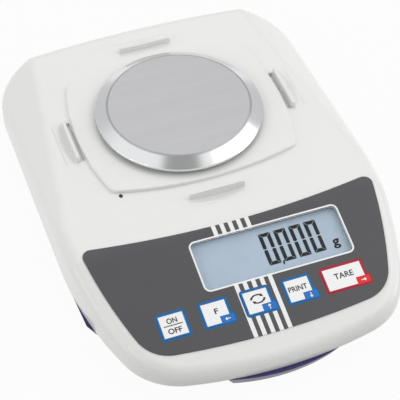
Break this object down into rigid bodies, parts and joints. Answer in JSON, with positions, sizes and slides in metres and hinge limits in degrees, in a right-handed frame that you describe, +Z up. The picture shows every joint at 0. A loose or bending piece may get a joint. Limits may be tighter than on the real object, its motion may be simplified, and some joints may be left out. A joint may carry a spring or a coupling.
{
  "type": "school balance",
  "caption": "Low bench balance with a round steel weighing plate, a sloping keypad panel with a numeric display, and a moulded two-part housing.",
  "frame": {"origin": "on the table, under the middle of the balance's box", "axes": "+X to the right of the operator, +Y to the back, +Z up"},
  "size_m": [0.2, 0.276, 0.0631],
  "materials": {
    "base_navy": "matt moulded surface, dark navy blue",
    "base_steel": "zinc-plated sheet",
    "battery_wrap": "plain dark wrapped metal can",
    "board_green": "green solder mask over copper",
    "buffer_rubber": "soft black rubber",
    "carrier_plastic": "dark grey moulded disc",
    "cell_aluminium": "milled and clear anodised",
    "dome_metal": "bright snap domes",
    "foil_grey": "printed foil, dark grey with a white banded field",
    "foot_rubber": "matt black rubber",
    "gasket_foam": "black foam strip",
    "gauge_rubber": "white sealing compound",
    "housing_white": "fine satin moulded surface, off-white",
    "key_white": "printed foil, white with a coloured border and legend",
    "lcd_glass": "pale blue-grey liquid crystal cell with dark digits",
    "light_guide": "milky light guide",
    "pane_clear": "clear thin window",
    "plate_steel": "matt brushed top, polished sloping rim",
    "port_metal": "tin-plated shell",
    "screw_steel": "bright zinc-plated",
    "socket_black": "black moulded socket",
    "switch_film": "milky film"
  },
  "bodies": {
    "root": {"base_plate": "base_steel", "base_plate_screws": "screw_steel", "battery_block": "battery_wrap", "battery_clip": "socket_black", "board_screws": "screw_steel", "cell_block": "cell_aluminium", "cell_screws": "screw_steel", "data_port": "port_metal", "display_backlight": "light_guide", "display_board": "board_green", "display_gasket": "gasket_foam", "display_glass": "lcd_glass", "display_pane": "pane_clear", "display_screws": "screw_steel", "foot_back_left": "foot_rubber", "foot_back_right": "foot_rubber", "foot_front_left": "foot_rubber", "foot_front_right": "foot_rubber", "gauge_covers": "gauge_rubber", "housing_screws": "screw_steel", "keypad_foil": "foil_grey", "load_cell": "cell_aluminium", "lower_housing": "base_navy", "main_board": "board_green", "mains_inlet": "socket_black", "overload_stop": "screw_steel", "port_board": "board_green", "switch_circuit": "switch_film", "switch_domes": "dome_metal", "switch_spacer": "switch_film", "upper_housing": "housing_white"},
    "pan_support": {"bracket_block": "cell_aluminium", "bracket_screws": "screw_steel", "load_bracket": "cell_aluminium", "plate_buffers": "buffer_rubber", "plate_carrier": "carrier_plastic"},
    "plate": {"plate_studs": "plate_steel", "weighing_plate": "plate_steel"},
    "key_on_off": {"key_on_off": "key_white"},
    "key_function": {"key_function": "key_white"},
    "key_cycle": {"key_cycle": "key_white"},
    "key_print": {"key_print": "key_white"},
    "key_tare": {"key_tare": "key_white"},
    "battery_lid": {"battery_lid": "base_navy"}
  },
  "joints": [
    {"name": "load_deflection", "type": "slide", "parent": "root", "child": "pan_support", "axis": [0, 0, 1], "range_m": [-0.0003, 0], "stiffness_N_per_m": 10000, "springref_m": 0.0004, "deforming": ["load_cell"]},
    {"name": "plate_lift", "type": "slide", "parent": "pan_support", "child": "plate", "axis": [0, 0, 1], "range_m": [0, 0.03]},
    {"name": "key_on_off_press", "type": "slide", "parent": "root", "child": "key_on_off", "axis": [0, 0.2419, -0.9703], "range_m": [0, 0.00035], "stiffness_N_per_m": 800, "springref_m": -0.0005},
    {"name": "key_function_press", "type": "slide", "parent": "root", "child": "key_function", "axis": [0, 0.2419, -0.9703], "range_m": [0, 0.00035], "stiffness_N_per_m": 800, "springref_m": -0.0005},
    {"name": "key_cycle_press", "type": "slide", "parent": "root", "child": "key_cycle", "axis": [0, 0.2419, -0.9703], "range_m": [0, 0.00035], "stiffness_N_per_m": 800, "springref_m": -0.0005},
    {"name": "key_print_press", "type": "slide", "parent": "root", "child": "key_print", "axis": [0, 0.2419, -0.9703], "range_m": [0, 0.00035], "stiffness_N_per_m": 800, "springref_m": -0.0005},
    {"name": "key_tare_press", "type": "slide", "parent": "root", "child": "key_tare", "axis": [0, 0.2419, -0.9703], "range_m": [0, 0.00035], "stiffness_N_per_m": 800, "springref_m": -0.0005},
    {"name": "battery_lid_swing", "type": "hinge", "parent": "root", "child": "battery_lid", "pos_m": [-0.0435, -0.0173, 0.0052], "axis": [1, 0, 0], "range_deg": [0, 80]}
  ]
}
